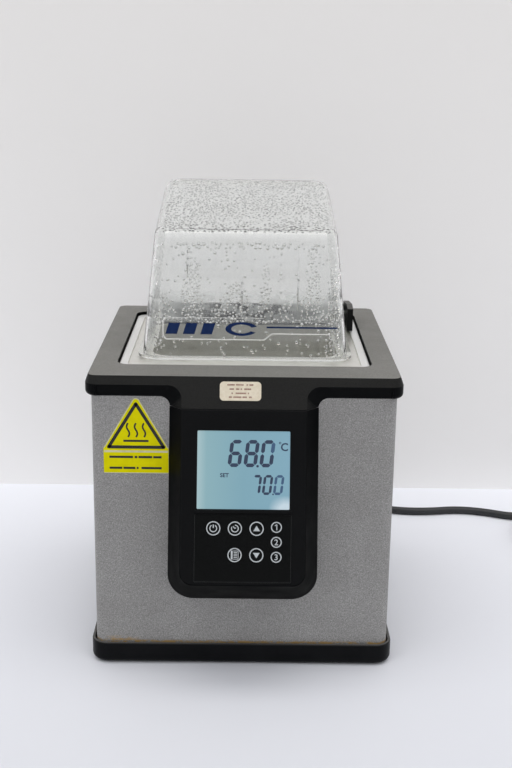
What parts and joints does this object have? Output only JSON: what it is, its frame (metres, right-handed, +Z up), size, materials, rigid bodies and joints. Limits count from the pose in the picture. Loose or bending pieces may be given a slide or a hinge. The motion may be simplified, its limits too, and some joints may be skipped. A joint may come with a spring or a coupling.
{
  "type": "water bath",
  "caption": "Small digital laboratory water bath: grey metal case, black collar and control hood, stainless well under a hinged clear gable lid, mains lead.",
  "frame": {"origin": "on the bench, under the middle of the casing and its control hood", "axes": "+Z up, -Y out of the control face, +X to the right of someone facing it"},
  "size_m": [0.4407, 0.332, 0.3018],
  "materials": {
    "black_plastic": "fine moulded texture",
    "grey_paint": "semi-gloss textured paint",
    "base_plastic": "moulded black plastic",
    "foot_rubber": "matte rubber",
    "screw_steel": "zinc plated",
    "window_plastic": "clear cover over a lit display",
    "display": "display module",
    "overlay_film": "satin film",
    "key_plastic": "moulded key",
    "circuit_board": "laminate",
    "tank_steel": "deep-drawn stainless steel",
    "gasket_rubber": "soft rubber",
    "foam": "fibre insulation",
    "heater_mat": "silicone rubber",
    "lead_insulation": "wire insulation",
    "clear_plastic": "clear moulded plastic, used as glass",
    "hinge_steel": "ground pin",
    "caution_yellow": "printed vinyl",
    "note_cream": "printed paper",
    "cord_rubber": "matte cord jacket",
    "tie_plastic": "flat tie",
    "blade_brass": "plated brass"
  },
  "bodies": {
    "bath": {"top_collar": "black_plastic", "body_wrap": "grey_paint", "base_tray": "base_plastic", "rubber_feet": "foot_rubber", "tie_rods": "screw_steel", "control_bezel": "black_plastic", "display_window": "window_plastic", "display_module": "display", "keypad_overlay": "overlay_film", "control_board": "circuit_board", "hood_screws": "screw_steel", "bath_tank": "tank_steel", "tank_gasket": "gasket_rubber", "insulation_jacket": "foam", "tank_heater": "heater_mat", "over_temperature_cutout": "screw_steel", "temperature_sensor": "screw_steel", "heater_leads": "lead_insulation", "power_board": "circuit_board", "board_screws": "screw_steel", "ribbon_cable": "display", "hinge_bracket": "black_plastic", "hinge_pin": "hinge_steel", "bracket_screws": "screw_steel", "caution_sticker": "caution_yellow", "note_label": "note_cream", "cord_gland": "cord_rubber", "cord_coil": "cord_rubber", "cord_tie": "tie_plastic", "power_plug": "cord_rubber", "plug_blades": "blade_brass", "power_cord": "cord_rubber", "cord_tail": "cord_rubber"},
    "lid": {"clear_lid": "clear_plastic", "hinge_leaf": "black_plastic"},
    "power_key": {"key_power": "key_plastic"},
    "timer_key": {"key_timer": "key_plastic"},
    "up_key": {"key_up": "key_plastic"},
    "menu_key": {"key_menu": "key_plastic"},
    "down_key": {"key_down": "key_plastic"},
    "preset_1_key": {"key_preset_1": "key_plastic"},
    "preset_2_key": {"key_preset_2": "key_plastic"},
    "preset_3_key": {"key_preset_3": "key_plastic"}
  },
  "joints": [
    {"name": "lid_hinge", "type": "hinge", "parent": "bath", "child": "lid", "pos_m": [0, 0.0811, 0.202], "axis": [-1, 0, 0], "range_deg": [0, 90]},
    {"name": "power_press", "type": "slide", "parent": "bath", "child": "power_key", "axis": [0, 0.9573, -0.289], "range_m": [0, 0.0005], "stiffness_N_per_m": 1500, "springref_m": -0.0003},
    {"name": "timer_press", "type": "slide", "parent": "bath", "child": "timer_key", "axis": [0, 0.9573, -0.289], "range_m": [0, 0.0005], "stiffness_N_per_m": 1500, "springref_m": -0.0003},
    {"name": "up_press", "type": "slide", "parent": "bath", "child": "up_key", "axis": [0, 0.9573, -0.289], "range_m": [0, 0.0005], "stiffness_N_per_m": 1500, "springref_m": -0.0003},
    {"name": "menu_press", "type": "slide", "parent": "bath", "child": "menu_key", "axis": [0, 0.9573, -0.289], "range_m": [0, 0.0005], "stiffness_N_per_m": 1500, "springref_m": -0.0003},
    {"name": "down_press", "type": "slide", "parent": "bath", "child": "down_key", "axis": [0, 0.9573, -0.289], "range_m": [0, 0.0005], "stiffness_N_per_m": 1500, "springref_m": -0.0003},
    {"name": "preset_1_press", "type": "slide", "parent": "bath", "child": "preset_1_key", "axis": [0, 0.9573, -0.289], "range_m": [0, 0.0005], "stiffness_N_per_m": 1500, "springref_m": -0.0003},
    {"name": "preset_2_press", "type": "slide", "parent": "bath", "child": "preset_2_key", "axis": [0, 0.9573, -0.289], "range_m": [0, 0.0005], "stiffness_N_per_m": 1500, "springref_m": -0.0003},
    {"name": "preset_3_press", "type": "slide", "parent": "bath", "child": "preset_3_key", "axis": [0, 0.9573, -0.289], "range_m": [0, 0.0005], "stiffness_N_per_m": 1500, "springref_m": -0.0003}
  ]
}
